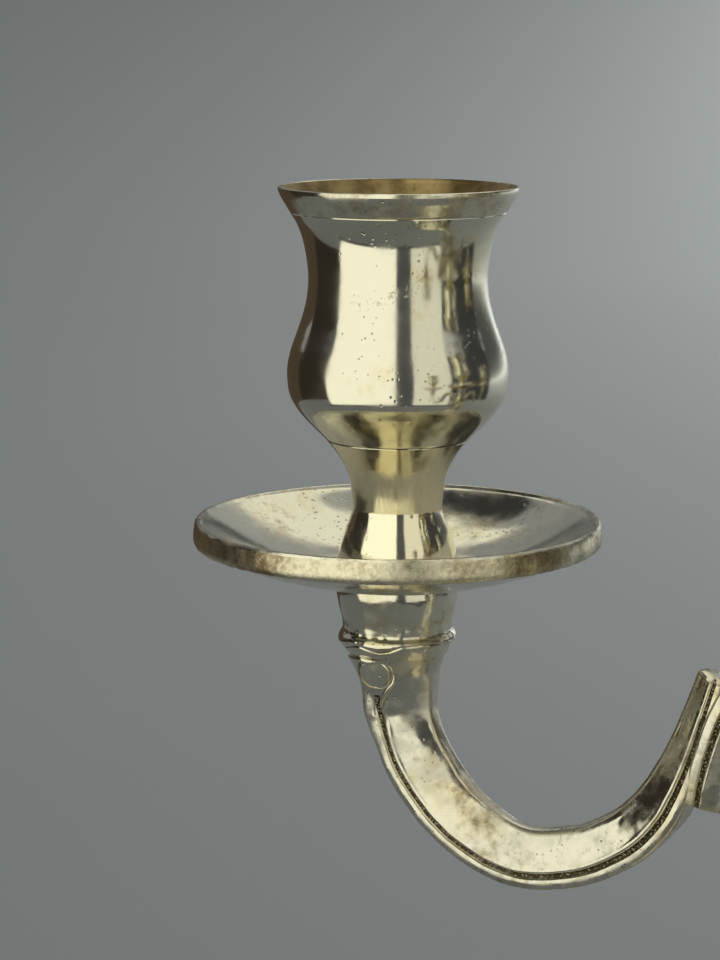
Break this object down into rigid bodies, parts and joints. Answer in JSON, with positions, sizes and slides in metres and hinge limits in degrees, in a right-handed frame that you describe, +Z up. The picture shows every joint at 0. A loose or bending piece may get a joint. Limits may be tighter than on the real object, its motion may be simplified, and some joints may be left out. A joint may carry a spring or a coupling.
{
  "type": "tabletop candelabra",
  "caption": "Silver-plated candelabra: scroll arms and a raised centre light with urn-shaped cups over drip pans, on a turned stem and a weighted round base.",
  "frame": {"origin": "middle of the felt's underside, on the stem's axis", "axes": "+Z up the stem; arm 1 points towards -X, arm 2 towards 300 degrees and arm 3 towards 60 degrees from +X"},
  "size_m": [0.2225, 0.2474, 0.2293],
  "materials": {
    "silver_plate": "polished silver plate over brass, worn and tarnished",
    "steel": "turned, oiled",
    "iron": "as cast",
    "felt": "green baize",
    "brass": "dull"
  },
  "bodies": {
    "stand": {"felt_pad": "felt", "base_plate": "steel", "base_weight": "iron", "base_shell": "silver_plate", "rod_washer": "steel", "rod_nut": "steel", "tie_rod": "steel", "stem_ring_lower": "silver_plate", "stem_baluster": "silver_plate", "stem_ring_upper": "silver_plate", "hub": "silver_plate", "centre_socket": "silver_plate", "arm_1": "silver_plate", "arm_screws_1": "silver_plate", "cup_stud_1": "steel", "arm_2": "silver_plate", "arm_screws_2": "silver_plate", "cup_stud_2": "steel", "arm_3": "silver_plate", "arm_screws_3": "silver_plate", "cup_stud_3": "steel"},
    "pan_1": {"drip_pan_1": "silver_plate"},
    "washer_1": {"foot_washer_1": "brass"},
    "cup_1": {"cup_stem_1": "silver_plate", "candle_cup_1": "silver_plate"},
    "pan_2": {"drip_pan_2": "silver_plate"},
    "washer_2": {"foot_washer_2": "brass"},
    "cup_2": {"cup_stem_2": "silver_plate", "candle_cup_2": "silver_plate"},
    "pan_3": {"drip_pan_3": "silver_plate"},
    "washer_3": {"foot_washer_3": "brass"},
    "cup_3": {"cup_stem_3": "silver_plate", "candle_cup_3": "silver_plate"},
    "pan_4": {"drip_pan_4": "silver_plate"},
    "washer_4": {"foot_washer_4": "brass"},
    "cup_4": {"cup_stem_4": "silver_plate", "candle_cup_4": "silver_plate"}
  },
  "joints": [
    {"name": "pan_1_turn", "type": "hinge", "parent": "stand", "child": "pan_1", "pos_m": [-0.107, 0, 0.165], "axis": [0, 0, 1], "continuous": true},
    {"name": "cup_1_lift", "type": "slide", "parent": "stand", "child": "washer_1", "axis": [0, 0, 1], "range_m": [0, 0.008]},
    {"name": "cup_1_turn", "type": "hinge", "parent": "washer_1", "child": "cup_1", "pos_m": [-0.107, 0, 0.165], "axis": [0, 0, 1], "range_deg": [0, 2880]},
    {"name": "pan_2_turn", "type": "hinge", "parent": "stand", "child": "pan_2", "pos_m": [0.0535, -0.09266, 0.165], "axis": [0, 0, 1], "continuous": true},
    {"name": "cup_2_lift", "type": "slide", "parent": "stand", "child": "washer_2", "axis": [0, 0, 1], "range_m": [0, 0.008]},
    {"name": "cup_2_turn", "type": "hinge", "parent": "washer_2", "child": "cup_2", "pos_m": [0.0535, -0.09266, 0.165], "axis": [0, 0, 1], "range_deg": [0, 2880]},
    {"name": "pan_3_turn", "type": "hinge", "parent": "stand", "child": "pan_3", "pos_m": [0.0535, 0.09266, 0.165], "axis": [0, 0, 1], "continuous": true},
    {"name": "cup_3_lift", "type": "slide", "parent": "stand", "child": "washer_3", "axis": [0, 0, 1], "range_m": [0, 0.008]},
    {"name": "cup_3_turn", "type": "hinge", "parent": "washer_3", "child": "cup_3", "pos_m": [0.0535, 0.09266, 0.165], "axis": [0, 0, 1], "range_deg": [0, 2880]},
    {"name": "pan_4_turn", "type": "hinge", "parent": "stand", "child": "pan_4", "pos_m": [0, 0, 0.179], "axis": [0, 0, 1], "continuous": true},
    {"name": "cup_4_lift", "type": "slide", "parent": "stand", "child": "washer_4", "axis": [0, 0, 1], "range_m": [0, 0.008]},
    {"name": "cup_4_turn", "type": "hinge", "parent": "washer_4", "child": "cup_4", "pos_m": [0, 0, 0.179], "axis": [0, 0, 1], "range_deg": [0, 2880]}
  ],
  "couplings": [
    {"joint": "cup_1_turn", "follows": "cup_1_lift", "rad_per_m": 6283.1},
    {"joint": "cup_2_turn", "follows": "cup_2_lift", "rad_per_m": 6283.1},
    {"joint": "cup_3_turn", "follows": "cup_3_lift", "rad_per_m": 6283.1},
    {"joint": "cup_4_turn", "follows": "cup_4_lift", "rad_per_m": 6283.1}
  ]
}
